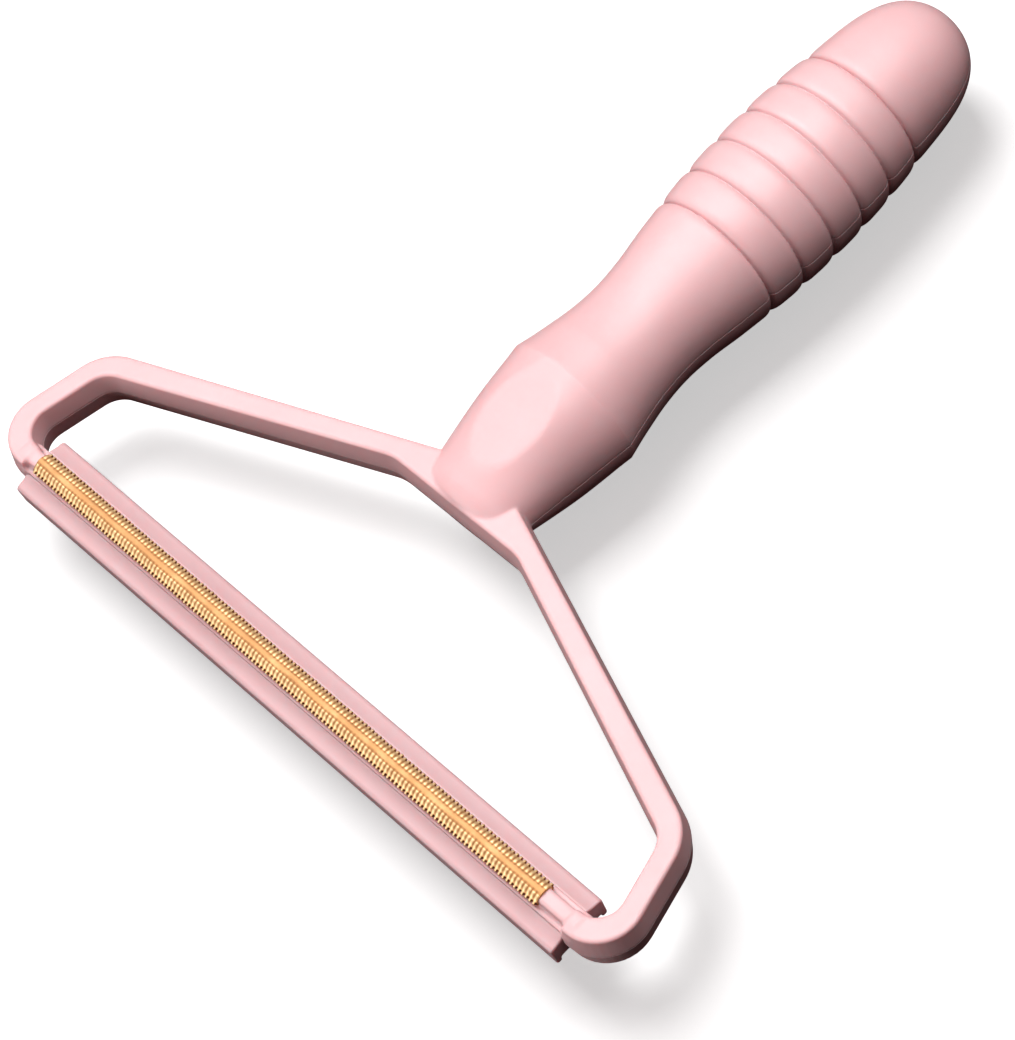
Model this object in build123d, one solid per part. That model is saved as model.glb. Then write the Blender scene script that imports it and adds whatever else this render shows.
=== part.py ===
from build123d import *
import os
from math import atan2, degrees, hypot

os.makedirs("parts", exist_ok=True)

# Fabric shaver, a manual lint scraper for clothes and upholstery.
# Two plastic half shells, joined on the mid-plane, make the hollow handle and the wire-like frame.
# A guard strip is held under the front bar, and a toothed copper band is pressed over the bar's ridge.
# Working frame: X along the bar, Y along the handle (tip at +Y); Z = 0 is the mid-plane, Y = 0 the ridge.
# All lengths are in millimetres.

REACH = 400                # larger than the whole tool, for the blocks that cut it in half
SNAP = 1e-6                # how close a corner lies to the place where it is looked for

# ---- overall ----
TIP_Y = 165.0              # end of the handle
FRONT_Y = -6.0             # front face of the guard
BELLY_RADIUS = 14.7        # thickest rib of the grip
ORIGIN = (0, -(TIP_Y + FRONT_Y) / 2, BELLY_RADIUS)   # moves the working frame to the bottom centre

# ---- frame ring, outlines on the mid-plane ----
FRAME_HALF_HEIGHT = 4.6
WALL_DRAFT = 0.75          # how much narrower each side wall is at the flat faces
OUTER_CORNER = (80.95, -3.25)
OUTER_SHOULDER = (74.26, 23.3)
OUTER_APEX = (0.0, 50.95)
INNER_CORNER = (74.13, 2.25)
INNER_SHOULDER = (69.98, 18.72)
INNER_THROAT = (15.4, 40.4)
OUTER_CORNER_RADIUS = 8.6
OUTER_SHOULDER_RADIUS = 10.5
INNER_CORNER_RADIUS = 4.0
INNER_SHOULDER_RADIUS = 5.0
THROAT_RADIUS = 8.0
FRAME_EDGE_RADIUS = 0.5

# ---- front bar ----
BAR_HALF_LENGTH = 68.8
BAR_CUT_WIDTH = 13.0
RIDGE_ROOT = 1.5           # how far the ridge runs into the frame's corners
RIDGE_HALF_WIDTH = 1.5
RIDGE_TOP_RADIUS = 0.9
SHOULDER_HALF_WIDTH = 2.5
SHOULDER_Z = 2.4
GUARD_SEAT_Z = 1.4
TONGUE_HALF_WIDTH = 1.1
TONGUE_DEPTH_Z = -1.8
TONGUE_HALF_LENGTH = 65.0

# ---- guard strip ----
GUARD_HALF_WIDTH = 6.0
GUARD_EDGE_Z = 0.6
GUARD_PLATE_Z = -0.9
GUARD_WALL = 1.3
GUARD_WEB_HALF_WIDTH = 2.6
GUARD_END_WALL = 1.4
GUARD_END_ARCH_Z = -3.5
GUARD_EDGE_RADIUS = 0.9
GUARD_LIP_RADIUS = 0.6
GUARD_SEAT_MARGIN = 0.3    # how much wider the guard's seat is than the shoulder on it
END_WALL_ROOT = 0.1        # how far an end wall runs into the walls beside it
SLOT_CLEARANCE = 0.1
SLOT_HEIGHT = 20.0

# ---- copper band ----
BAND_X = (-66.4, 62.6)
BAND_THICKNESS = 0.45
BAND_LEG_Z = 3.0
TOOTH_ROOT_W = 1.8
TOOTH_TIP_W = 2.35
TOOTH_Z = 3.75
TOOTH_THICKNESS = 0.35
TOOTH_PITCH = 1.0
TOOTH_WIDTH = 0.55
COMB_ROOT = 0.2            # how far the comb runs into the band's leg
COMB_LAND = 0.15           # plain strip between the leg and the teeth

# ---- handle ----
BASE_Y = INNER_THROAT[1]
BASE_RADIUS = 8.0
BASE_TURN = (9.65, 41.2)   # where the rounded front edge of the neck passes
NECK_START = (10.3, 43.0)
NECK_END = (14.0, 68.6)
WAIST = [(12.3, 76.0), (11.3, 85.3), (12.15, 95.0)]
GROOVES = 6
GROOVE_START_Y = 104.9
GROOVE_PITCH = 7.38
GROOVE_WIDTH = 1.5
GROOVE_DEPTH = 0.8
RIB_CROWN = 0.35
BELLY_Y = 123.5
BELLY_CURVE = 0.0033       # how fast the grip thins away from its belly, per mm
NOSE = [(12.65, 149.3), (11.6, 154.8), (9.6, 160.2), (6.4, 163.4)]
NOSE_DIRECTIONS = [(0.25, 1), (-1, 0)]   # of the nose's outline at the last groove and at the tip
FACET = [(4.9, 0.0), (8.0, 4.4), (13.3, 28.2)]   # height, distance from the base: flat on the neck
FACET_DIRECTION = (0.35, 1)
FACET_RUN_OUT = 40.0       # how far the flat's plane goes on behind the neck
FACET_BLOCK_HALF_WIDTH = 30.0
FACET_BLOCK_MARGIN = 5.0

# ---- hollow, stiffeners and joints between the shells ----
CAVITY = [(6.6, 51.0), (10.0, 67.0), (9.1, 85.3), (10.7, 104.0), (11.9, 123.5), (10.8, 143.0),
          (9.0, 155.0), (5.0, 161.0)]
STIFFENER_Y = (76.0, 104.9, 134.4)
STIFFENER_THICKNESS = 1.6
STIFFENER_GAP = 0.1
ROOT_IN_WALL = 0.6         # how far ribs and bosses run into the wall
BOSS_Y = (59.0, 92.0, 119.7, 149.0)
BOSS_RADIUS = 3.2
PIN_RADIUS = 1.5
PIN_HEIGHT = 4.0
PIN_ROOT = 1.5             # how far each pin runs down into the lower shell
SOCKET_CLEARANCE = 0.1
SOCKET_SPARE_DEPTH = 0.4
LIP_OFFSETS = (0.1, 0.9)   # inner and outer face of the lower shell's lip, measured out from the hollow
LIP_HEIGHT = 1.2
LIP_ROOT = 0.3
REBATE_OFFSETS = (-0.6, 1.0)
REBATE_HEIGHT = 1.3
STRUT_PINS = [(74.4, 12.0), (45.0, 31.2), (24.0, 39.2)]
STRUT_PIN_RADIUS = 0.9
STRUT_PIN_HEIGHT = 2.4


def above_mid_plane(gap=0.0):
    """Everything above the mid-plane, or above a small gap over it."""
    return Pos(0, 0, gap + REACH / 2) * Box(REACH, REACH, REACH)


def belly(y):
    """Crest radius of the grip at a place along the handle."""
    return BELLY_RADIUS - BELLY_CURVE * (y - BELLY_Y) ** 2


def mirrored(points):
    """A left-right symmetric outline from its right half, listed from front to back."""
    left = [(-x, y) for x, y in reversed(points) if x > 0]
    return points + left


def mirrored_radii(radii, shared_apex):
    """Corner radii for a mirrored outline; a shared apex lies on the centre line and appears once."""
    tail = radii[:-1] if shared_apex else radii
    return radii + list(reversed(tail))


def polygon_with_radii(points, radii):
    """A closed polygon face whose corners are rounded, each with its own radius."""
    face = make_face(Polyline(*points, close=True))
    for (x, y), radius in zip(points, radii):
        if radius > 0:
            corner = min(face.vertices(), key=lambda v: hypot(v.X - x, v.Y - y))
            face = fillet(corner, radius)
    return face


def frame_ring():
    """Upper half of the closed frame, with drafted side walls and a softened top edge."""
    outer = polygon_with_radii(
        mirrored([OUTER_CORNER, OUTER_SHOULDER, OUTER_APEX]),
        mirrored_radii([OUTER_CORNER_RADIUS, OUTER_SHOULDER_RADIUS, 0], True))
    inner = polygon_with_radii(
        mirrored([INNER_CORNER, INNER_SHOULDER, (INNER_THROAT[0], INNER_THROAT[1] - WALL_DRAFT)]),
        mirrored_radii([INNER_CORNER_RADIUS, INNER_SHOULDER_RADIUS, THROAT_RADIUS], False))
    draft = degrees(atan2(WALL_DRAFT, FRAME_HALF_HEIGHT))
    body = extrude(outer, FRAME_HALF_HEIGHT, taper=draft)
    hole = extrude(inner, FRAME_HALF_HEIGHT, taper=-draft)
    ring = body - hole
    return fillet(ring.edges().group_by(Axis.Z)[-1], FRAME_EDGE_RADIUS)


def handle_profile():
    """Half outline of the handle in the XY plane, to be turned about the Y axis."""
    first = GROOVE_START_Y - GROOVE_WIDTH / 2
    edges = [Line((0, BASE_Y), (BASE_RADIUS, BASE_Y))]
    edges += [ThreePointArc((BASE_RADIUS, BASE_Y), BASE_TURN, NECK_START)]
    edges += [Line(NECK_START, NECK_END)]
    edges += [Spline(NECK_END, *WAIST, (belly(first) - RIB_CROWN, first))]
    for i in range(GROOVES):
        centre = GROOVE_START_Y + i * GROOVE_PITCH
        near, far = centre - GROOVE_WIDTH / 2, centre + GROOVE_WIDTH / 2
        near_edge = (belly(near) - RIB_CROWN, near)
        bottom = (belly(centre) - RIB_CROWN - GROOVE_DEPTH, centre)
        far_edge = (belly(far) - RIB_CROWN, far)
        edges += [ThreePointArc(near_edge, bottom, far_edge)]
        if i < GROOVES - 1:
            crest = (belly(centre + GROOVE_PITCH / 2), centre + GROOVE_PITCH / 2)
            next_near = centre + GROOVE_PITCH - GROOVE_WIDTH / 2
            edges += [ThreePointArc(far_edge, crest, (belly(next_near) - RIB_CROWN, next_near))]
    edges += [Spline(far_edge, *NOSE, (0, TIP_Y), tangents=NOSE_DIRECTIONS)]
    edges += [Line((0, TIP_Y), (0, BASE_Y))]
    return make_face(edges)


def neck_facets():
    """Block whose top and bottom cut the flats on the neck."""
    start, turn, far = [(BASE_Y + y, z) for z, y in FACET]
    slope = (far[1] - turn[1]) / (far[0] - turn[0])
    run_out = (far[0] + FACET_RUN_OUT, far[1] + slope * FACET_RUN_OUT)
    back_y = TIP_Y + FACET_BLOCK_MARGIN
    upper = [
        Line((BASE_Y, 0), start),
        TangentArc(start, turn, tangent=FACET_DIRECTION),
        Line(turn, run_out),
        Line(run_out, (back_y, run_out[1])),
        Line((back_y, run_out[1]), (back_y, 0)),
        Line((back_y, 0), (BASE_Y, 0)),
    ]
    half = Plane.YZ * make_face(upper)
    block = extrude(half, FACET_BLOCK_HALF_WIDTH, both=True)
    return block + mirror(block, Plane.XY)


def cavity_face(growth=0):
    """Half section of the hollow handle, from the neck to the nose, grown into the wall if asked."""
    wall = [(r + growth, y) for r, y in CAVITY]
    first = (wall[0][0], wall[0][1] - growth)
    last = (wall[-1][0], wall[-1][1] + growth)
    wall = [first] + wall[1:-1] + [last]
    outline = [Line((0, first[1]), first), Spline(*wall), Line(last, (0, last[1])),
               Line((0, last[1]), (0, first[1]))]
    return make_face(outline)


def bar_cut():
    """The stretch of the front bar where the ring gives way to the ridge and the guard."""
    return Box(2 * BAR_HALF_LENGTH, BAR_CUT_WIDTH, 4 * FRAME_HALF_HEIGHT)


def stiffeners():
    """Cross ribs inside the hollow, just short of the mid-plane."""
    ribs = [Pos(0, y, 0) * Box(REACH, STIFFENER_THICKNESS, REACH) for y in STIFFENER_Y]
    return [rib & above_mid_plane(STIFFENER_GAP) for rib in ribs]


def bosses():
    """Round bosses that carry the locating pins and sockets."""
    return [(Pos(0, y, 0) * Cylinder(BOSS_RADIUS, REACH)) & above_mid_plane() for y in BOSS_Y]


def pins(radius, height, places):
    """Locating pins that stand up through the mid-plane from a root below it."""
    return [Pos(x, y, (height - PIN_ROOT) / 2) * Cylinder(radius, height + PIN_ROOT) for x, y in places]


def strut_places():
    """Where the frame's small pins stand, on both sides."""
    return [(s * x, y) for x, y in STRUT_PINS for s in (-1, 1)]


def lip(offsets, height):
    """Band round the mouth of the hollow, between two grown outlines, standing on the mid-plane."""
    inner, outer = (extrude(cavity_face(growth), height) for growth in offsets)
    half = outer - inner
    return half + mirror(half, Plane.YZ)


def front_ridge():
    """Ridge, shoulders and guard tongue of the front bar, all part of the upper shell."""
    length = 2 * (BAR_HALF_LENGTH + RIDGE_ROOT)
    ridge_height = FRAME_HALF_HEIGHT - GUARD_SEAT_Z
    ridge = Pos(0, 0, GUARD_SEAT_Z + ridge_height / 2) * Box(length, 2 * RIDGE_HALF_WIDTH, ridge_height)
    ridge = fillet(ridge.edges().filter_by(Axis.X).group_by(Axis.Z)[-1], RIDGE_TOP_RADIUS)
    shoulder_height = SHOULDER_Z - GUARD_SEAT_Z
    shoulder = Box(length, 2 * SHOULDER_HALF_WIDTH, shoulder_height)
    shoulder = Pos(0, 0, GUARD_SEAT_Z + shoulder_height / 2) * shoulder
    tongue_height = GUARD_SEAT_Z - TONGUE_DEPTH_Z
    tongue = Box(2 * TONGUE_HALF_LENGTH, 2 * TONGUE_HALF_WIDTH, tongue_height)
    tongue = Pos(0, 0, TONGUE_DEPTH_Z + tongue_height / 2) * tongue
    return ridge + shoulder + tongue


def handle_and_frame_half():
    """Upper half of handle and frame together, hollow, with stiffeners and bosses."""
    handle = revolve(handle_profile(), Axis.Y) & neck_facets()
    shell = (handle & above_mid_plane()) + (frame_ring() - bar_cut())
    shell -= revolve(cavity_face(), Axis.Y)
    core = revolve(cavity_face(ROOT_IN_WALL), Axis.Y)
    for piece in stiffeners() + bosses():
        shell += piece & core
    return shell


def all_pins(clearance=0.0, spare_depth=0.0):
    """The handle's pins and the frame's, or, with a clearance and spare depth, their sockets."""
    handle_places = [(0, y) for y in BOSS_Y]
    in_handle = pins(PIN_RADIUS + clearance, PIN_HEIGHT + spare_depth, handle_places)
    in_frame = pins(STRUT_PIN_RADIUS + clearance, STRUT_PIN_HEIGHT + spare_depth, strut_places())
    return in_handle + in_frame


def make_shells():
    """The two half shells: sockets and a rebate in the upper one, pins and a lip on the lower one."""
    half = handle_and_frame_half()

    upper = half + front_ridge()
    upper -= lip(REBATE_OFFSETS, REBATE_HEIGHT)
    for socket in all_pins(SOCKET_CLEARANCE, SOCKET_SPARE_DEPTH):
        upper -= socket

    lower = mirror(half, Plane.XY)
    lower += Pos(0, 0, -LIP_ROOT) * lip(LIP_OFFSETS, LIP_HEIGHT + LIP_ROOT)
    for pin in all_pins():
        lower += pin
    return upper, lower


def guard_section():
    """Half-symmetric section of the guard in the YZ plane: plate, drooping wings and lips."""
    w, edge, wall = GUARD_HALF_WIDTH, GUARD_EDGE_Z, GUARD_WALL
    bottom = -FRAME_HALF_HEIGHT
    seat_width = SHOULDER_HALF_WIDTH + GUARD_SEAT_MARGIN
    right = [(0, GUARD_SEAT_Z), (seat_width, GUARD_SEAT_Z), (w, edge), (w, bottom), (w - wall, bottom),
             (w - wall, GUARD_PLATE_Z), (GUARD_WEB_HALF_WIDTH, GUARD_PLATE_Z),
             (GUARD_WEB_HALF_WIDTH, bottom), (0, bottom)]
    left = [(-y, z) for y, z in reversed(right) if y > 0]
    face = make_face(Polyline(*(right + left), close=True))
    top_corners = [v for v in face.vertices() if abs(abs(v.X) - w) < SNAP and abs(v.Y - edge) < SNAP]
    face = fillet(top_corners, GUARD_EDGE_RADIUS)
    lip_corners = [v for v in face.vertices() if abs(v.X) > w - wall - SNAP and abs(v.Y - bottom) < SNAP]
    return fillet(lip_corners, GUARD_LIP_RADIUS)


def make_guard():
    """The guard strip with its end walls and the slot for the bar's tongue."""
    half = BAR_HALF_LENGTH
    body = extrude(Plane.YZ * guard_section(), half, both=True)
    channel = GUARD_HALF_WIDTH - GUARD_WALL - GUARD_WEB_HALF_WIDTH
    wall_height = GUARD_PLATE_Z - GUARD_END_ARCH_Z
    for sx in (-1, 1):
        for sy in (-1, 1):
            x = sx * (half - GUARD_END_WALL / 2)
            y = sy * (GUARD_WEB_HALF_WIDTH + channel / 2)
            end_wall = Box(GUARD_END_WALL, channel + 2 * END_WALL_ROOT, wall_height)
            body += Pos(x, y, GUARD_PLATE_Z - wall_height / 2) * end_wall
    slot_length = 2 * (TONGUE_HALF_LENGTH + SLOT_CLEARANCE)
    slot_width = 2 * (TONGUE_HALF_WIDTH + SLOT_CLEARANCE)
    floor_z = TONGUE_DEPTH_Z - SLOT_CLEARANCE
    return body - Pos(0, 0, floor_z + SLOT_HEIGHT / 2) * Box(slot_length, slot_width, SLOT_HEIGHT)


def saddle_section():
    """The band's folded sheet where it grips the ridge."""
    inner_w = RIDGE_HALF_WIDTH
    top = FRAME_HALF_HEIGHT
    t = BAND_THICKNESS
    outer_w = inner_w + t
    outer = make_face(Polyline((-outer_w, BAND_LEG_Z), (outer_w, BAND_LEG_Z), (outer_w, top + t),
                               (-outer_w, top + t), close=True))
    outer = fillet(outer.vertices().group_by(Axis.Y)[-1], RIDGE_TOP_RADIUS + t)
    inner = make_face(Polyline((-inner_w, BAND_LEG_Z - 1), (inner_w, BAND_LEG_Z - 1), (inner_w, top),
                               (-inner_w, top), close=True))
    inner = fillet(inner.vertices().group_by(Axis.Y)[-1], RIDGE_TOP_RADIUS)
    return outer - inner


def tooth_row():
    """One comb of teeth along an edge of the band, as a single outline."""
    start, end = BAND_X
    count = int((end - start) / TOOTH_PITCH)
    inside = TOOTH_ROOT_W - COMB_ROOT
    land = TOOTH_ROOT_W + COMB_LAND
    points = [(start, inside), (start, land)]
    for i in range(count):
        x = start + i * TOOTH_PITCH + (TOOTH_PITCH - TOOTH_WIDTH) / 2
        points += [(x, land), (x, TOOTH_TIP_W), (x + TOOTH_WIDTH, TOOTH_TIP_W), (x + TOOTH_WIDTH, land)]
    points += [(end, land), (end, inside)]
    comb = make_face(Polyline(*points, close=True))
    return Pos(0, 0, TOOTH_Z) * extrude(comb, TOOTH_THICKNESS)


def make_band():
    """The band: its saddle over the ridge and a comb of teeth along each edge."""
    start, end = BAND_X
    saddle = Pos(start, 0, 0) * extrude(Plane.YZ * saddle_section(), end - start)
    comb = tooth_row()
    return saddle + comb + mirror(comb, Plane.XZ)


def save(name, solid):
    """Writes one piece, moved from the working frame to the shared frame."""
    placed = Pos(*ORIGIN) * solid
    export_step(placed, f"parts/{name}.step")


upper_shell, lower_shell = make_shells()
save("upper_shell", upper_shell)
save("lower_shell", lower_shell)
save("guard_strip", make_guard())
save("copper_band", make_band())
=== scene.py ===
import math

import bpy
import numpy as np
from mathutils import Matrix, Vector


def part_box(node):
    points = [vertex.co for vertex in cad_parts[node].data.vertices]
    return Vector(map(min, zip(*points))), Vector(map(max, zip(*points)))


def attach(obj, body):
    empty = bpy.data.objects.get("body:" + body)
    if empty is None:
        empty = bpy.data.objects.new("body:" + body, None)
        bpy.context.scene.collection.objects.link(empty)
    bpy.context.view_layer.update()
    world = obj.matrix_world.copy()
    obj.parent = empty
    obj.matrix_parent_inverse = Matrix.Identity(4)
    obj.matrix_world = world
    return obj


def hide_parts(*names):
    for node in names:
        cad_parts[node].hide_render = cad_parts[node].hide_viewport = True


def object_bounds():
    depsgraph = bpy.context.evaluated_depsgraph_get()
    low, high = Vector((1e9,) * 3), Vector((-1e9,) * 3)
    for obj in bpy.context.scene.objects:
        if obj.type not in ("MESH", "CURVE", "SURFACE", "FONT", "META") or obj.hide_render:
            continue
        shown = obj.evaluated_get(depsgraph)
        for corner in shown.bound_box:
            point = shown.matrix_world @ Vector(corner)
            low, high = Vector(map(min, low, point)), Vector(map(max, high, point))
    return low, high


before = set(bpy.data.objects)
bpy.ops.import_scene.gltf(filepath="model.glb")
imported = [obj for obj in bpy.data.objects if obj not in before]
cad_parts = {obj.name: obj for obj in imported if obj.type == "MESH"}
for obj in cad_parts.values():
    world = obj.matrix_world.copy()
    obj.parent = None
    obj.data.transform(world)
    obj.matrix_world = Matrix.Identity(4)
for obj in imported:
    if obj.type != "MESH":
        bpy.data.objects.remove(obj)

cad_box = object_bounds()

# Fabric shaver. The two half shells and the guard are made as smooth fields of signed distance, with moulded
# radii where faces meet, and turned into meshes on fine grids. The copper band is a swept, ribbed sheet.
# Lengths are in millimetres in the tool's own axes: X along the bar, Y along the handle, Z = 0 on the
# parting plane. The frame gives where these axes lie, and meshes are written in metres in the frame's axes.

MM = 0.001
upper_low, upper_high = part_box("upper_shell")
lower_low, lower_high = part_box("lower_shell")
guard_low, guard_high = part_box("guard_strip")
band_low, band_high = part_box("copper_band")
GUARD_HALF_WIDTH = (guard_high.y - guard_low.y) / 2 / MM
ORIGIN = Vector((0, (guard_high.y + guard_low.y) / 2, upper_high.z - (upper_high.z - lower_low.z) / 2))

# ---- the handle's and the frame's shape ----
TIP_Y = (upper_high.y - ORIGIN.y) / MM
BELLY_RADIUS = (upper_high.z - ORIGIN.z) / MM
BELLY_Y = 123.5
BELLY_CURVE = 0.0033
GROOVES = 6
GROOVE_START_Y = 104.9
GROOVE_PITCH = 7.38
GROOVE_DEPTH = 1.3
RIB_SQUARENESS = 4.6
BASE_Y = 40.4
BASE_RADIUS = 6.6
BASE_ROUND = 4.05
BASE_TURN = math.radians(82)
NECK_END = (14.0, 68.6)
WAIST = [(14.0, 68.6), (12.85, 73.3), (11.72, 79.3), (11.28, 85.4), (11.66, 91.4), (12.65, 98.0),
         (13.4, 104.0)]
NOSE_START_Y = GROOVE_START_Y + (GROOVES - 1) * GROOVE_PITCH
NOSE_RADIUS = 13.42
NOSE_TAPER = 0.08
NOSE_SQUARENESS = 4
NOSE_BLUNTNESS = 0.45
PAST_AXIS = -3.0           # the half section's outline is shut well inside the handle
FACET_POINT = (44.8, 8.0)
FACET_SLOPE = 0.2227
FACET_EDGE_RADIUS = 0.3
NECK_FILLET = 0.35
# How high the neck is for its width, and where, from the base to the waist.
FLATNESS = [(0.6, 40.4), (0.75, 46.3), (0.885, 51.2), (0.985, 57.5), (0.975, 62.8), (0.95, 66.5),
            (0.955, 69.5), (1.0, 76.0)]

FRAME_HALF_HEIGHT = (ORIGIN.z - guard_low.z) / MM
WALL_DRAFT = 0.75
FRAME_EDGE_RADIUS = 0.55
WALL_EDGE_RADIUS = 0.1
PARTING_RADIUS = 0.22
# Right half of the frame's outlines on the parting plane: x, y and corner radius.
OUTER = [(80.95, -3.25, 8.6), (74.26, 23.3, 10.5), (0.0, 50.95, 0.0)]
INNER = [(74.13, 2.25, 4.0), (69.98, 18.72, 5.0), (15.4, 39.65, 9.0)]

BAR_HALF_LENGTH = (guard_high.x - guard_low.x) / 2 / MM
RIDGE_HALF_WIDTH = 1.5
RIDGE_TOP = 4.45
RIDGE_EDGE_RADIUS = 0.8
RIDGE_ROOT = 1.5
RIDGE_FILLET = 0.9
BAR_GAP_HALF_WIDTH = 6.5
BAR_GAP_RADIUS = 0.35
SHOULDER_HALF_WIDTH = 2.6
SHOULDER_TOP = 2.3
SHOULDER_EDGE_RADIUS = 0.3
SHOULDER_FILLET = 0.4
TONGUE_HALF_LENGTH = 65.0
TONGUE_HALF_WIDTH = 1.1
TONGUE_BOTTOM = -1.8
TONGUE_TOP = 1.6

# ---- the guard ----
GUARD_SEAT_Z = 1.4
GUARD_SEAT_HALF_WIDTH = SHOULDER_HALF_WIDTH + 0.3
SEAT_GAP = 0.02
WING_DROP = 0.78
WING_EDGE_RADIUS = 0.8
WING_EVENNESS = 0.93       # brings the wing's curved field back near to a true distance
GUARD_DRAFT = 0.03
GUARD_LIP_RADIUS = 0.5
GUARD_WALL = 1.3
GUARD_WEB_HALF_WIDTH = 2.6
GUARD_ROOF_Z = -0.9
GUARD_ARCH_Z = -3.5
GUARD_END_WALL = 1.4
GUARD_END_RADIUS = 0.35
CHANNEL_RADIUS = 0.5
CHANNEL_EDGE_RADIUS = 0.4
SLOT_CLEARANCE = 0.1

# ---- the band ----
BAND_START = band_low.x / MM
BAND_END = band_high.x / MM
TOOTH_PITCH = 0.896

# ---- the grids ----
SHELL_STEP = 0.36
QUICK_SHELL_STEP = 0.6
SHELL_X = (-79.6, 79.8)
SHELL_FRONT_Y = -4.4
SHELL_BOTTOM_Z = -0.1
SHELL_DEEP_Z = -2.4        # below the tongue
SHELL_MARGIN = 0.5
# Stretches with closer places: from, to and step.
SHELL_FINE_X = [(-69.3, -68.3, 0.2), (68.3, 69.3, 0.2)]                  # the bar's ends
SHELL_FINE_Y = [(-3.2, 3.2, 0.28), (40.0, 41.0, 0.25), (67.9, 69.4, 0.2),
                (164.5, 166.4, 0.2)]                                     # the bar, both neck ends, the tip
SHELL_FINE_Z = [(SHELL_BOTTOM_Z, 0.5, 0.1), (3.8, 4.8, 0.2)]             # the parting plane, the frame's top
GROOVE_FINE_HALF_WIDTH = 0.75
GROOVE_FINE_STEP = 0.125
GUARD_STEP = 0.15
GUARD_LONG_STEP = 3.0
GUARD_MIDDLING_STEP = 0.5
GUARD_Y = (-6.3, 6.3)
GUARD_Z = (-5.0, 2.0)

# ================= signed-distance helpers =================

def round_max(a, b, radius):
    """Where both solids are, with the edge between them rounded."""
    soft = np.minimum(np.maximum(a, b), -radius)
    return soft + np.hypot(np.maximum(a + radius, 0), np.maximum(b + radius, 0))


def round_min(a, b, radius):
    """Both solids together, with the corner between them filled to a radius."""
    return -round_max(-a, -b, radius)


def polyline_distance(points, u, v):
    """Signed distance from the places (u, v) to a closed outline, negative inside."""
    best = np.full(u.shape, 1e9)
    inside = np.zeros(u.shape, bool)
    for (au, av), (bu, bv) in zip(points, np.roll(points, -1, axis=0)):
        du, dv = bu - au, bv - av
        length2 = du * du + dv * dv
        if length2 == 0:
            continue
        t = np.clip(((u - au) * du + (v - av) * dv) / length2, 0, 1)
        best = np.minimum(best, (u - au - t * du) ** 2 + (v - av - t * dv) ** 2)
        crosses = (av > v) != (bv > v)
        if dv:
            inside ^= crosses & (u < au + (v - av) * du / dv)
    return np.where(inside, -1, 1) * np.sqrt(best)


class Table:
    """A signed distance kept on a fine flat grid, and read between its points."""

    def __init__(self, points, low, high, step):
        self.low, self.step = low, step
        u = np.arange(low[0], high[0] + step, step)
        v = np.arange(low[1], high[1] + step, step)
        self.values = polyline_distance(np.array(points), *np.meshgrid(u, v, indexing="ij"))

    def at(self, u, v):
        rows, columns = self.values.shape
        fu = np.clip((u - self.low[0]) / self.step, 0, rows - 1.001)
        fv = np.clip((v - self.low[1]) / self.step, 0, columns - 1.001)
        i, j = fu.astype(int), fv.astype(int)
        s, t = fu - i, fv - j
        g = self.values
        return ((1 - s) * (1 - t) * g[i, j] + s * (1 - t) * g[i + 1, j]
                + (1 - s) * t * g[i, j + 1] + s * t * g[i + 1, j + 1])


def rounded_outline(corners):
    """Points of a left-right symmetric closed outline with rounded corners, from its right half."""
    left = [(-x, y, r) for x, y, r in reversed(corners) if x > 0]
    ring = corners + left
    points = []
    for i, (x, y, r) in enumerate(ring):
        here = np.array((x, y))
        before = np.array(ring[i - 1][:2]) - here
        after = np.array(ring[(i + 1) % len(ring)][:2]) - here
        before, after = before / np.linalg.norm(before), after / np.linalg.norm(after)
        if r == 0:
            points.append(here)
            continue
        half = math.acos(float(before @ after)) / 2
        middle = (before + after) / np.linalg.norm(before + after)
        centre = here + middle * r / math.sin(half)
        start = here + before * r / math.tan(half) - centre
        end = here + after * r / math.tan(half) - centre
        for t in np.linspace(0, 1, 13):
            turn = math.pi - 2 * half
            point = (math.sin((1 - t) * turn) * start + math.sin(t * turn) * end) / math.sin(turn)
            points.append(centre + point)
    return points


def smooth_curve(points, y):
    """Radius at y along a smooth curve through (radius, y) points."""
    r, s = np.array(points).T
    slope = np.gradient(r, s)
    k = np.clip(np.searchsorted(s, y) - 1, 0, len(s) - 2)
    h = s[k + 1] - s[k]
    t = (y - s[k]) / h
    return ((2 * t ** 3 - 3 * t ** 2 + 1) * r[k] + (t ** 3 - 2 * t ** 2 + t) * h * slope[k]
            + (3 * t ** 2 - 2 * t ** 3) * r[k + 1] + (t ** 3 - t ** 2) * h * slope[k + 1])


def groove_drop(y):
    """How far the ribs' edges round over into the nearest groove."""
    phase = (y - GROOVE_START_Y) / GROOVE_PITCH
    nearest = np.clip(np.round(phase), 0, GROOVES - 1)
    from_crest = np.maximum(0, 1 - 2 * np.abs(phase - nearest))
    return GROOVE_DEPTH * (1 - np.sqrt(1 - from_crest ** RIB_SQUARENESS))


def grip_radius(y):
    """Radius of the ribbed, slightly bellied grip."""
    return BELLY_RADIUS - BELLY_CURVE * (y - BELLY_Y) ** 2 - groove_drop(y)


def nose_narrowing(u):
    return (1 - u ** NOSE_SQUARENESS) ** NOSE_BLUNTNESS


def nose_radius(y):
    """Radius from the last groove to the tip."""
    u = np.clip((y - NOSE_START_Y) / (TIP_Y - NOSE_START_Y), 0, 1)
    return (NOSE_RADIUS - NOSE_TAPER * (y - NOSE_START_Y)) * nose_narrowing(u) - groove_drop(y)


def grip_or_waist(y):
    """The narrower of the two where they meet, and the grip alone from there on."""
    if y < WAIST[-1][1]:
        return min(grip_radius(y), smooth_curve(WAIST, y))
    return grip_radius(y)


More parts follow.
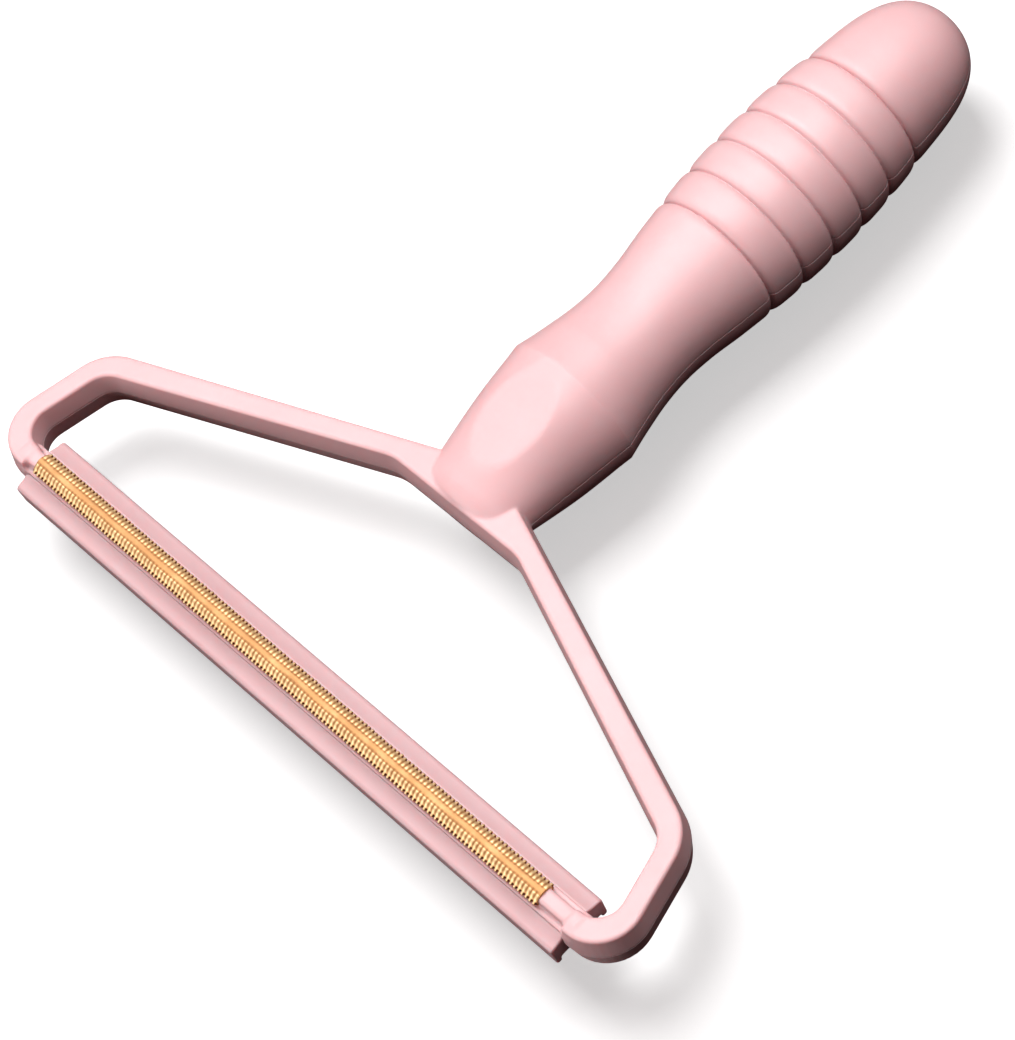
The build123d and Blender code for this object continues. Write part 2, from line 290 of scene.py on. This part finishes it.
def handle_outline():
    """Half section of the turned handle, from its base to its tip: radius and place along the handle."""
    waist_end = WAIST[-1][1]
    base = [(BASE_RADIUS + BASE_ROUND * math.sin(a), BASE_Y + BASE_ROUND * (1 - math.cos(a)))
            for a in np.linspace(0, BASE_TURN, 9)]
    waist = [(smooth_curve(WAIST, y), y) for y in np.arange(WAIST[0][1] + 0.4, waist_end - 1.0, 0.4)]
    grip = [(grip_or_waist(y), y) for y in np.arange(waist_end - 0.8, NOSE_START_Y - 0.02, 0.1)]
    turn = np.linspace(0, math.pi / 2, 160)
    nose_y = NOSE_START_Y + (TIP_Y - NOSE_START_Y) * np.sin(turn)
    nose = [(nose_radius(y), y) for y in nose_y]
    shut_front, shut_tip = [(PAST_AXIS, BASE_Y)], [(PAST_AXIS, TIP_Y)]
    return shut_front + base + [NECK_END] + waist + grip + nose + shut_tip


# ================= fields of the pieces =================

RING_LOW, RING_HIGH, RING_TABLE_STEP = (-1.0, -8.0), (84.0, 56.0), 0.2
HANDLE_LOW, HANDLE_HIGH, HANDLE_TABLE_STEP = (0.0, 36.0), (17.0, 170.0), 0.12
outer_table = Table(rounded_outline(OUTER), RING_LOW, RING_HIGH, RING_TABLE_STEP)
inner_table = Table(rounded_outline(INNER), RING_LOW, RING_HIGH, RING_TABLE_STEP)
handle_table = Table(handle_outline(), HANDLE_LOW, HANDLE_HIGH, HANDLE_TABLE_STEP)


def handle_field(x, y, z):
    """The turned handle, a little flattened at the neck and cut by the neck's flat."""
    flatness = smooth_curve(FLATNESS, np.clip(y, FLATNESS[0][1], FLATNESS[-1][1]))
    body = handle_table.at(np.hypot(x, z / flatness), y)
    tilt = math.hypot(1, FACET_SLOPE)
    flat = (z - FACET_POINT[1] - FACET_SLOPE * (y - FACET_POINT[0])) / tilt
    return round_max(body, flat, FACET_EDGE_RADIUS)


def ring_field(x, y, z):
    """The closed frame above the parting plane, with drafted walls and soft top edges."""
    across = np.abs(x)
    draft = WALL_DRAFT * z / FRAME_HALF_HEIGHT
    walls = round_max(outer_table.at(across, y) + draft, draft - inner_table.at(across, y), WALL_EDGE_RADIUS)
    gap = np.maximum(across - BAR_HALF_LENGTH, np.abs(y) - BAR_GAP_HALF_WIDTH)
    walls = round_max(walls, -gap, BAR_GAP_RADIUS)
    return round_max(walls, z - FRAME_HALF_HEIGHT, FRAME_EDGE_RADIUS)


def bar_field(x, y, z):
    """The ridge that carries the band, its shoulders and the tongue that holds the guard."""
    along, across = np.abs(x), np.abs(y)
    ridge = round_max(across - RIDGE_HALF_WIDTH, z - RIDGE_TOP, RIDGE_EDGE_RADIUS)
    shoulder = round_max(across - SHOULDER_HALF_WIDTH, z - SHOULDER_TOP, SHOULDER_EDGE_RADIUS)
    bar = np.maximum(round_min(ridge, shoulder, SHOULDER_FILLET), GUARD_SEAT_Z + SEAT_GAP - z)
    bar = np.maximum(bar, along - BAR_HALF_LENGTH - RIDGE_ROOT)
    from_middle = np.abs(z - (TONGUE_TOP + TONGUE_BOTTOM) / 2)
    tongue = np.maximum(across - TONGUE_HALF_WIDTH, from_middle - (TONGUE_TOP - TONGUE_BOTTOM) / 2)
    return np.minimum(bar, np.maximum(tongue, along - TONGUE_HALF_LENGTH))


def lower_field(x, y, z):
    """The lower shell upside down: handle and ring above the parting plane."""
    half = round_min(handle_field(x, y, z), ring_field(x, y, z), NECK_FILLET)
    return round_max(half, -z, PARTING_RADIUS)


def upper_field(x, y, z):
    """The same half, with the front bar run into the frame's corners."""
    return round_min(lower_field(x, y, z), bar_field(x, y, z), RIDGE_FILLET)


def guard_field(x, y, z):
    """Two drooping wings on a web, hollow below, with closed, arched ends and a slot for the tongue."""
    along, across = np.abs(x), np.abs(y)
    from_edge = np.clip((GUARD_HALF_WIDTH - across) / (GUARD_HALF_WIDTH - GUARD_SEAT_HALF_WIDTH), 0, 1)
    wing = z - GUARD_SEAT_Z + WING_DROP * (1 - from_edge ** 2)
    side = across - GUARD_HALF_WIDTH + GUARD_DRAFT * np.maximum(-z, 0)
    body = round_max(side, wing * WING_EVENNESS, WING_EDGE_RADIUS)
    body = round_max(body, -FRAME_HALF_HEIGHT - z, GUARD_LIP_RADIUS)
    inner_face = GUARD_HALF_WIDTH - GUARD_WALL
    channel_middle = (inner_face + GUARD_WEB_HALF_WIDTH) / 2
    channel = np.abs(across - channel_middle) - (inner_face - GUARD_WEB_HALF_WIDTH) / 2
    roof = np.where(along < BAR_HALF_LENGTH - GUARD_END_WALL, GUARD_ROOF_Z, GUARD_ARCH_Z)
    channel = round_max(channel, z - roof, CHANNEL_RADIUS)
    body = round_max(body, -channel, CHANNEL_EDGE_RADIUS)
    slot = np.maximum(across - TONGUE_HALF_WIDTH - SLOT_CLEARANCE, TONGUE_BOTTOM - SLOT_CLEARANCE - z)
    slot = np.maximum(slot, along - TONGUE_HALF_LENGTH - SLOT_CLEARANCE)
    body = np.maximum(body, -slot)
    return round_max(body, along - BAR_HALF_LENGTH, GUARD_END_RADIUS)


# ================= from fields to meshes =================

def graded(low, high, step, fine=()):
    """Grid places from low to high, closer together in the fine stretches (from, to, step)."""
    tiny = 1e-6
    places = [low]
    while places[-1] < high:
        here = places[-1]
        inner = [s for a, b, s in fine if a - tiny <= here < b]
        ahead = [a - here for a, b, s in fine if a > here + tiny]
        places.append(here + min([min(inner, default=step)] + [d for d in ahead if d < step]))
    return np.array(places)


CELL_CORNERS = np.array([(i, j, k) for i in (0, 1) for j in (0, 1) for k in (0, 1)])
CELL_EDGES = [(a, b) for a in range(8) for b in range(a + 1, 8)
              if np.abs(CELL_CORNERS[a] - CELL_CORNERS[b]).sum() == 1]


def settle(points, field, low, high, passes=3, h=0.02, least_steepness=0.05):
    """Moves points onto the surface along the field's slope, within their own cells."""
    for _ in range(passes):
        value = field(*points.T)
        slope = np.stack([(field(*(points + h * e).T) - field(*(points - h * e).T)) / (2 * h)
                          for e in np.eye(3)], axis=1)
        steep = np.maximum((slope ** 2).sum(1), least_steepness)
        points = np.clip(points - slope * (value / steep)[:, None], low, high)
    return points


def surface_net(field, xs, ys, zs):
    """Vertices and quads of the field's zero surface on a rectangular grid."""
    axes = (xs, ys, zs)
    values = np.empty((len(xs), len(ys), len(zs)), np.float32)
    for k, z in enumerate(zs):
        gx, gy = np.meshgrid(xs, ys, indexing="ij")
        values[:, :, k] = field(gx, gy, np.full(gx.shape, z))
    inside = values < 0
    count = sum(inside[i:inside.shape[0] - 1 + i, j:inside.shape[1] - 1 + j, k:inside.shape[2] - 1 + k]
                .astype(np.int8) for i, j, k in CELL_CORNERS)
    cells = np.argwhere((count > 0) & (count < 8))
    index = np.full(count.shape, -1)
    index[tuple(cells.T)] = np.arange(len(cells))

    total = np.zeros((len(cells), 3))
    crossings = np.zeros(len(cells))
    for a, b in CELL_EDGES:
        ca, cb = cells + CELL_CORNERS[a], cells + CELL_CORNERS[b]
        fa, fb = values[tuple(ca.T)], values[tuple(cb.T)]
        cut = (fa < 0) != (fb < 0)
        t = np.where(cut, fa / np.where(cut, fa - fb, 1), 0)[:, None]
        pa = np.stack([axes[d][ca[:, d]] for d in range(3)], axis=1)
        pb = np.stack([axes[d][cb[:, d]] for d in range(3)], axis=1)
        total += np.where(cut[:, None], pa + t * (pb - pa), 0)
        crossings += cut
    points = total / crossings[:, None]
    low = np.stack([axes[d][cells[:, d]] for d in range(3)], axis=1)
    high = np.stack([axes[d][cells[:, d] + 1] for d in range(3)], axis=1)
    points = settle(points, field, low, high)

    quads = []
    for d in range(3):
        e, f = (d + 1) % 3, (d + 2) % 3
        near = [slice(None)] * 3
        far = [slice(None)] * 3
        near[d], far[d] = slice(0, -1), slice(1, None)
        edges = np.argwhere(inside[tuple(near)] != inside[tuple(far)])
        edges = edges[(edges[:, e] > 0) & (edges[:, e] < len(axes[e]) - 1)
                      & (edges[:, f] > 0) & (edges[:, f] < len(axes[f]) - 1)]
        leaving = inside[tuple(edges.T)]
        around = []
        for de, df in ((-1, -1), (0, -1), (0, 0), (-1, 0)):
            cell = edges.copy()
            cell[:, e] += de
            cell[:, f] += df
            around.append(index[tuple(cell.T)])
        quad = np.stack(around, axis=1)
        quad[~leaving] = quad[~leaving][:, ::-1]
        quads.append(quad)
    return points, np.concatenate(quads)


def mesh_piece(name, points, quads, node, slot, flipped=False):
    """A Blender object in the frame's axes that stands for a CAD node."""
    place = points * MM
    if flipped:
        place = place * np.array((1, 1, -1))
        quads = quads[:, ::-1]
    place = place + np.array(ORIGIN)
    mesh = bpy.data.meshes.new(name)
    mesh.from_pydata(place.tolist(), [], quads.tolist())
    mesh.validate()
    mesh.polygons.foreach_set("use_smooth", np.ones(len(mesh.polygons), bool))
    mesh.update()
    piece = bpy.data.objects.new(name, mesh)
    bpy.context.scene.collection.objects.link(piece)
    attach(piece, "root")
    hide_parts(node)
    return piece


def shell_axes(step):
    """Grid places across and along the tool, closer at the bar, the neck's ends, the grooves and the tip."""
    centres = [GROOVE_START_Y + i * GROOVE_PITCH for i in range(GROOVES)]
    grooves = [(c - GROOVE_FINE_HALF_WIDTH, c + GROOVE_FINE_HALF_WIDTH, GROOVE_FINE_STEP) for c in centres]
    xs = graded(*SHELL_X, step, SHELL_FINE_X)
    ys = graded(SHELL_FRONT_Y, TIP_Y + 0.6, step, SHELL_FINE_Y + grooves)
    return xs, ys


def make_shells(coarse):
    """Both half shells; the upper one's grid also reaches down past the tongue."""
    step = QUICK_SHELL_STEP if coarse else SHELL_STEP
    xs, ys = shell_axes(step)
    upper_z = graded(SHELL_BOTTOM_Z, BELLY_RADIUS + SHELL_MARGIN, step, SHELL_FINE_Z)
    deep = graded(SHELL_DEEP_Z, SHELL_BOTTOM_Z, SHELL_STEP)[:-1]
    upper = surface_net(upper_field, xs, ys, np.concatenate((deep, upper_z)))
    lower = surface_net(lower_field, xs, ys, upper_z)
    return (mesh_piece("upper_half_shell", *upper, "upper_shell", "shell_plastic"),
            mesh_piece("lower_half_shell", *lower, "lower_shell", "shell_plastic", flipped=True))


def make_guard():
    """The guard strip, on a grid that is fine at its ends and long-celled between them."""
    end = BAR_HALF_LENGTH
    fine_x = [(-end - 0.4, -end + 3, GUARD_STEP), (-end + 3, -end + 6, GUARD_MIDDLING_STEP),
              (end - 7, end - 4, GUARD_MIDDLING_STEP), (end - 4.0, end + 0.6, GUARD_STEP)]
    xs = graded(-end - 0.4, end + 0.4, GUARD_LONG_STEP, fine_x)
    ys = graded(*GUARD_Y, GUARD_STEP)
    zs = graded(*GUARD_Z, GUARD_STEP)
    return mesh_piece("guard_wings", *surface_net(guard_field, xs, ys, zs), "guard_strip", "guard_plastic")


# ================= the copper band =================

# Section from the crest outwards and round the toothed edge to the ridge's side:
# half width, height, how far a rib stands out there, how far a tooth stands out there.
BAND_SECTION = [(0.0, 5.02, 0, 0), (0.42, 5.0, 0, 0), (0.6, 4.9, 0.06, 0), (0.95, 4.82, 0.15, 0),
                (1.3, 4.68, 0.17, 0), (1.6, 4.45, 0.13, 0), (1.8, 4.2, 0.05, 0), (1.92, 4.05, 0, 0.12),
                (1.98, 3.95, 0, 0.34), (1.98, 3.75, 0, 0.4), (1.98, 3.5, 0, 0.34), (1.92, 3.3, 0, 0.12),
                (1.85, 3.1, 0, 0), (1.7, 2.95, 0, 0), (1.58, 2.9, 0, 0), (1.53, 3.05, 0, 0),
                (1.53, 3.7, 0, 0), (1.35, 4.3, 0, 0), (0.9, 4.47, 0, 0)]
RING_PLACES = 92
STEPS_PER_TOOTH = 10
UNEVENNESS = 0.1
RIB_SHARPNESS = 0.45
RIB_MEAN = 0.6
TOOTH_FOOT = 0.3
TOOTH_FLANK = 0.4
TOP_HEIGHT = 4.55          # above this the sheet wanders a little
CREST_HEIGHT = 4.86        # above this the sheet is nearly smooth and coloured a little darker
UNDER_HEIGHT = 3.4         # below this the sheet lies in shadow


def band_ring():
    """The section's closed loop, resampled evenly, with its outward normals."""
    right = np.array(BAND_SECTION, float)
    left = right[1:][::-1] * np.array((-1, 1, 1, 1))
    loop = np.concatenate((right, left))
    shut = np.concatenate((loop, loop[:1]))
    gaps = np.hypot(*np.diff(shut[:, :2], axis=0).T)
    along = np.concatenate(([0], np.cumsum(gaps)))
    places = np.linspace(0, along[-1], RING_PLACES + 1)[:-1]
    ring = np.stack([np.interp(places, along, shut[:, c]) for c in range(4)], axis=1)
    ring = (np.roll(ring, 1, axis=0) + 2 * ring + np.roll(ring, -1, axis=0)) / 4
    step = np.roll(ring, -1, axis=0) - np.roll(ring, 1, axis=0)
    normal = np.stack((-step[:, 1], step[:, 0]), axis=1)
    normal /= np.linalg.norm(normal, axis=1)[:, None]
    return ring, normal if normal[0, 1] > 0 else -normal


def crest_wander(xs, w, z):
    """The pressed crest isn't quite straight: slow waves, in millimetres, up, over and to the sides."""
    slow = 0.03 * np.sin(xs / 2.1 + 0.6 * np.sin(xs / 5.3)) + 0.02 * np.sin(xs / 0.83)
    roll = 0.05 * np.sin(xs / 3.4 + 1.0) + 0.03 * np.sin(xs / 1.6)
    sway = 0.07 * np.sin(xs / 2.3 + np.sin(xs / 7.0))
    lift = slow * np.exp(-(w / 0.7) ** 2) + roll * w * np.exp(-(w / 1.2) ** 2)
    return w + sway * np.exp(-(w / 0.8) ** 2), z + lift


def smooth_step(t):
    t = np.clip(t, 0, 1)
    return t * t * (3 - 2 * t)


def make_band():
    """Vertices, quads and how dark each vertex is coloured: tarnish with painted shade between the ribs and
    teeth, painted shade underneath, a darker crest.
    """
    ring, normal = band_ring()
    rib_height, tooth_height = ring[:, 2], ring[:, 3]
    length = BAND_END - BAND_START
    teeth = round(length / TOOTH_PITCH)
    xs = np.linspace(BAND_START, BAND_END, teeth * STEPS_PER_TOOTH + 1)[:, None]
    phase = (xs - BAND_START) / length * teeth
    rng = np.random.default_rng(7)
    strength = (1 + UNEVENNESS * rng.standard_normal(teeth + 1))[np.minimum(phase.astype(int), teeth)]
    wave = np.sin(phase * math.pi) ** 2
    rib = wave ** RIB_SHARPNESS
    tooth = smooth_step((wave - TOOTH_FOOT) / TOOTH_FLANK)
    stand = rib_height * ((rib - RIB_MEAN) * strength) + tooth_height * (tooth * strength)
    w = ring[:, 0] + normal[:, 0] * stand
    z = ring[:, 1] + normal[:, 1] * stand
    on_top = ring[:, 1] > TOP_HEIGHT
    w, z = np.where(on_top, crest_wander(xs, w, z), (w, z))
    points = np.stack((np.broadcast_to(xs, w.shape), w, z), axis=2).reshape(-1, 3)
    n, m = w.shape
    i, j = (g.ravel() for g in np.meshgrid(np.arange(n - 1), np.arange(m), indexing="ij"))
    k = (j + 1) % m
    quads = np.stack((i * m + j, i * m + k, (i + 1) * m + k, (i + 1) * m + j), axis=1)
    # Colour darkening: tarnish and painted shade between ribs and between teeth, painted shade on the
    # underside, and a slightly darker crest.
    between_ribs = rib_height * (1 - rib) * 3.0
    between_teeth = np.minimum(5 * tooth_height, 1) * (1 - tooth)
    under = np.clip(1.2 * (UNDER_HEIGHT - ring[:, 1]), 0, 1)
    crest = 0.28 * (ring[:, 1] > CREST_HEIGHT)
    tarnish_and_painted_shade = np.clip(between_ribs + between_teeth + under + crest, 0, 1).ravel()
    return points, quads, tarnish_and_painted_shade, (n, m)


def band_piece():
    """The copper band, with flat ends and its darkening values (tarnish and painted shade) for the material.
    """
    points, quads, tarnish_and_painted_shade, (n, m) = make_band()
    ends = [list(range(m)), [(n - 1) * m + j for j in reversed(range(m))]]
    faces = quads.tolist() + ends
    place = points * MM + np.array(ORIGIN)
    mesh = bpy.data.meshes.new("ribbed_copper_band")
    mesh.from_pydata(place.tolist(), [], faces)
    layer = mesh.attributes.new("tarnish_and_painted_shade", "FLOAT", "POINT")
    layer.data.foreach_set("value", tarnish_and_painted_shade.astype(np.float32))
    smooth = np.ones(len(faces), bool)
    smooth[-2:] = False
    mesh.polygons.foreach_set("use_smooth", smooth)
    mesh.update()
    piece = bpy.data.objects.new("ribbed_copper_band", mesh)
    bpy.context.scene.collection.objects.link(piece)
    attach(piece, "root")
    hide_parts("copper_band")
    return piece


# ================= materials =================

class Nodes:
    """Short calls for building one material's node tree."""

    def __init__(self, name):
        self.material = bpy.data.materials.new(name)
        self.material.use_nodes = True
        self.tree = self.material.node_tree
        self.shader = self.tree.nodes["Principled BSDF"]

    def add(self, kind, **values):
        node = self.tree.nodes.new(kind)
        for key, value in values.items():
            setattr(node, key, value)
        return node

    def link(self, source, target):
        self.tree.links.new(source, target)

    def ramp(self, source, stops):
        node = self.add("ShaderNodeValToRGB")
        elements = node.color_ramp.elements
        for position, colour in stops[:-2]:
            elements.new(position)
        for element, (position, colour) in zip(elements, stops):
            element.position = position
            element.color = (*colour, 1)
        self.link(source, node.inputs["Fac"])
        return node.outputs["Color"]


def noise(nodes, scale, detail=3.0, roughness=0.5):
    """Output of a noise texture that rides on the object, scale in features per metre."""
    coords = nodes.add("ShaderNodeTexCoord")
    texture = nodes.add("ShaderNodeTexNoise")
    texture.inputs["Scale"].default_value = scale
    texture.inputs["Detail"].default_value = detail
    texture.inputs["Roughness"].default_value = roughness
    nodes.link(coords.outputs["Object"], texture.inputs["Vector"])
    return texture.outputs["Fac"]


def grey(value):
    return (value, value, value)


def pink_plastic(name, light, dark):
    """Satin moulded plastic: faint flow clouding, fine texture and small gloss changes."""
    nodes = Nodes(name)
    shader = nodes.shader
    clouds = noise(nodes, 28.0, 4.0)
    nodes.link(nodes.ramp(clouds, [(0.32, dark), (0.68, light)]), shader.inputs["Base Color"])
    handling = noise(nodes, 75.0, 5.0, 0.6)
    nodes.link(nodes.ramp(handling, [(0.3, grey(0.41)), (0.7, grey(0.48))]), shader.inputs["Roughness"])
    shader.inputs["IOR"].default_value = 1.5
    shader.inputs["Specular IOR Level"].default_value = 0.5
    shader.inputs["Subsurface Weight"].default_value = 0.4
    shader.inputs["Subsurface Radius"].default_value = (1.0, 0.22, 0.2)
    shader.inputs["Subsurface Scale"].default_value = 0.002
    ripple = nodes.add("ShaderNodeBump")
    ripple.inputs["Strength"].default_value = 0.08
    ripple.inputs["Distance"].default_value = 0.0004
    nodes.link(noise(nodes, 190.0, 2.0), ripple.inputs["Height"])
    grain = nodes.add("ShaderNodeBump")
    grain.inputs["Strength"].default_value = 0.06
    grain.inputs["Distance"].default_value = 0.00005
    nodes.link(noise(nodes, 5200.0, 2.0), grain.inputs["Height"])
    nodes.link(ripple.outputs["Normal"], grain.inputs["Normal"])
    nodes.link(grain.outputs["Normal"], shader.inputs["Normal"])
    return nodes.material


def copper():
    """Gold-toned copper sheet: bright on its ribs, tarnished brown between them, with painted shade there
    too.
    """
    nodes = Nodes("band_copper_sheet")
    shader = nodes.shader
    shader.inputs["Metallic"].default_value = 0.7
    tarnish_and_painted_shade = nodes.add("ShaderNodeAttribute", attribute_name="tarnish_and_painted_shade")
    mottle = noise(nodes, 420.0, 4.0)
    mixed = nodes.add("ShaderNodeMath", operation="MULTIPLY_ADD")
    nodes.link(mottle, mixed.inputs[0])
    mixed.inputs[1].default_value = 0.22
    nodes.link(tarnish_and_painted_shade.outputs["Fac"], mixed.inputs[2])
    colour = nodes.ramp(mixed.outputs[0], [(0.08, (0.95, 0.71, 0.4)), (0.4, (0.52, 0.28, 0.125)),
                                           (0.7, (0.38, 0.16, 0.05)), (1.0, (0.06, 0.012, 0.008))])
    nodes.link(colour, shader.inputs["Base Color"])
    nodes.link(nodes.ramp(mixed.outputs[0], [(0.1, grey(0.5)), (0.9, grey(0.7))]), shader.inputs["Roughness"])
    bump = nodes.add("ShaderNodeBump")
    bump.inputs["Strength"].default_value = 0.15
    bump.inputs["Distance"].default_value = 0.00008
    nodes.link(noise(nodes, 1500.0, 3.0), bump.inputs["Height"])
    nodes.link(bump.outputs["Normal"], shader.inputs["Normal"])
    return nodes.material


def floor_material():
    """Matt near-white floor that glows a little, so that shadows on it stay light."""
    nodes = Nodes("pale_floor")
    nodes.shader.inputs["Base Color"].default_value = (0.93, 0.93, 0.93, 1)
    nodes.link(nodes.ramp(noise(nodes, 3.0), [(0.0, grey(0.88)), (1.0, grey(0.92))]),
               nodes.shader.inputs["Roughness"])
    nodes.shader.inputs["Specular IOR Level"].default_value = 0.1
    nodes.shader.inputs["Emission Color"].default_value = (0.98, 1, 1, 1)
    nodes.shader.inputs["Emission Strength"].default_value = 0.47
    return nodes.material


# ================= the room =================

def area_light(name, direction, size, power, distance=1.0):
    """A rectangular lamp that faces the object's middle: size and distance in metres, power in watts."""
    lamp = bpy.data.lights.new(name, "AREA")
    lamp.shape = "RECTANGLE"
    lamp.size, lamp.size_y = size
    lamp.energy = power
    holder = bpy.data.objects.new(name, lamp)
    bpy.context.scene.collection.objects.link(holder)
    target = (cad_box[0] + cad_box[1]) / 2
    back = Vector(direction).normalized()
    holder.location = target + back * distance
    holder.rotation_mode = "QUATERNION"
    holder.rotation_quaternion = back.to_track_quat("Z", "Y")
    return holder


def make_floor():
    """A floor under the tool, seen by the camera but not mirrored or bounced onto the object."""
    size, z = 6.0, cad_box[0].z
    corners = [(-size, -size, z), (size, -size, z), (size, size, z), (-size, size, z)]
    mesh = bpy.data.meshes.new("floor")
    mesh.from_pydata(corners, [], [(0, 1, 2, 3)])
    floor = bpy.data.objects.new("floor", mesh)
    bpy.context.scene.collection.objects.link(floor)
    mesh.materials.append(floor_material())
    floor.visible_glossy = False
    floor.visible_diffuse = False
    return floor


def make_world(strength):
    """A dim, rosy room, nearly dark below the horizon."""
    world = bpy.data.worlds.new("soft_room")
    world.use_nodes = True
    tree = world.node_tree
    background = tree.nodes["Background"]
    background.inputs["Strength"].default_value = strength
    coords = tree.nodes.new("ShaderNodeTexCoord")
    parts = tree.nodes.new("ShaderNodeSeparateXYZ")
    ramp = tree.nodes.new("ShaderNodeValToRGB")
    below, above = ramp.color_ramp.elements
    below.position, below.color = 0.0, (0.14, 0.05, 0.05, 1)
    above.position, above.color = 0.4, (1.0, 0.66, 0.66, 1)
    tree.links.new(coords.outputs["Generated"], parts.inputs["Vector"])
    tree.links.new(parts.outputs["Z"], ramp.inputs["Fac"])
    tree.links.new(ramp.outputs["Color"], background.inputs["Color"])
    bpy.context.scene.world = world


def make_camera():
    """The viewing direction: right, up and back axes of the camera, and its place in the tool's axes."""
    right = Vector((0.6833, 0.6893, -0.2409))
    up = Vector((-0.5432, 0.7003, 0.4632))
    back = right.cross(up)
    place = Vector((319.66, -73.84, 546.36)) * MM + ORIGIN
    data = bpy.data.cameras.new("camera")
    data.lens = 130.46
    data.sensor_width = 36.0
    data.clip_start, data.clip_end = 0.01, 20.0
    camera = bpy.data.objects.new("camera", data)
    bpy.context.scene.collection.objects.link(camera)
    turn = Matrix((right, up, back)).transposed()
    camera.matrix_world = Matrix.Translation(place) @ turn.to_4x4()
    bpy.context.scene.camera = camera


make_camera()
upper, lower = make_shells(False)
guard = make_guard()
band = band_piece()
shell_look = pink_plastic("shell_plastic_satin", (0.69, 0.445, 0.455), (0.655, 0.41, 0.42))
# The guard gets the shell's plastic in darker colours: painted shade on its wings.
guard_shaded_look = pink_plastic("guard_plastic_painted_shade", (0.56, 0.375, 0.385), (0.53, 0.345, 0.355))
for piece, look in ((upper, shell_look), (lower, shell_look), (guard, guard_shaded_look), (band, copper())):
    piece.data.materials.append(look)

floor = make_floor()
make_world(0.1)
key = area_light("key", (0.05, 0.22, 0.97), (0.8, 0.8), 10.6)
sheen = area_light("top_gloss", (-0.49, -0.03, 0.87), (0.4, 0.75), 4.8)
fill = area_light("front_fill", (-0.2, -0.95, 0.2), (0.6, 0.3), 4.0)
wash = area_light("floor_wash", (-0.46, 0.13, 0.88), (0.66, 0.66), 7.1)
# The floor has a lamp of its own, so its shadow can be set apart from the light on the tool.
on_object = bpy.data.collections.new("lit_object")
on_floor = bpy.data.collections.new("lit_floor")
for piece in (upper, lower, guard, band):
    on_object.objects.link(piece)
on_floor.objects.link(floor)
for lamp in (key, sheen, fill):
    lamp.light_linking.receiver_collection = on_object
wash.light_linking.receiver_collection = on_floor
view = bpy.context.scene.view_settings
view.view_transform = "Standard"
view.look = "Medium High Contrast"
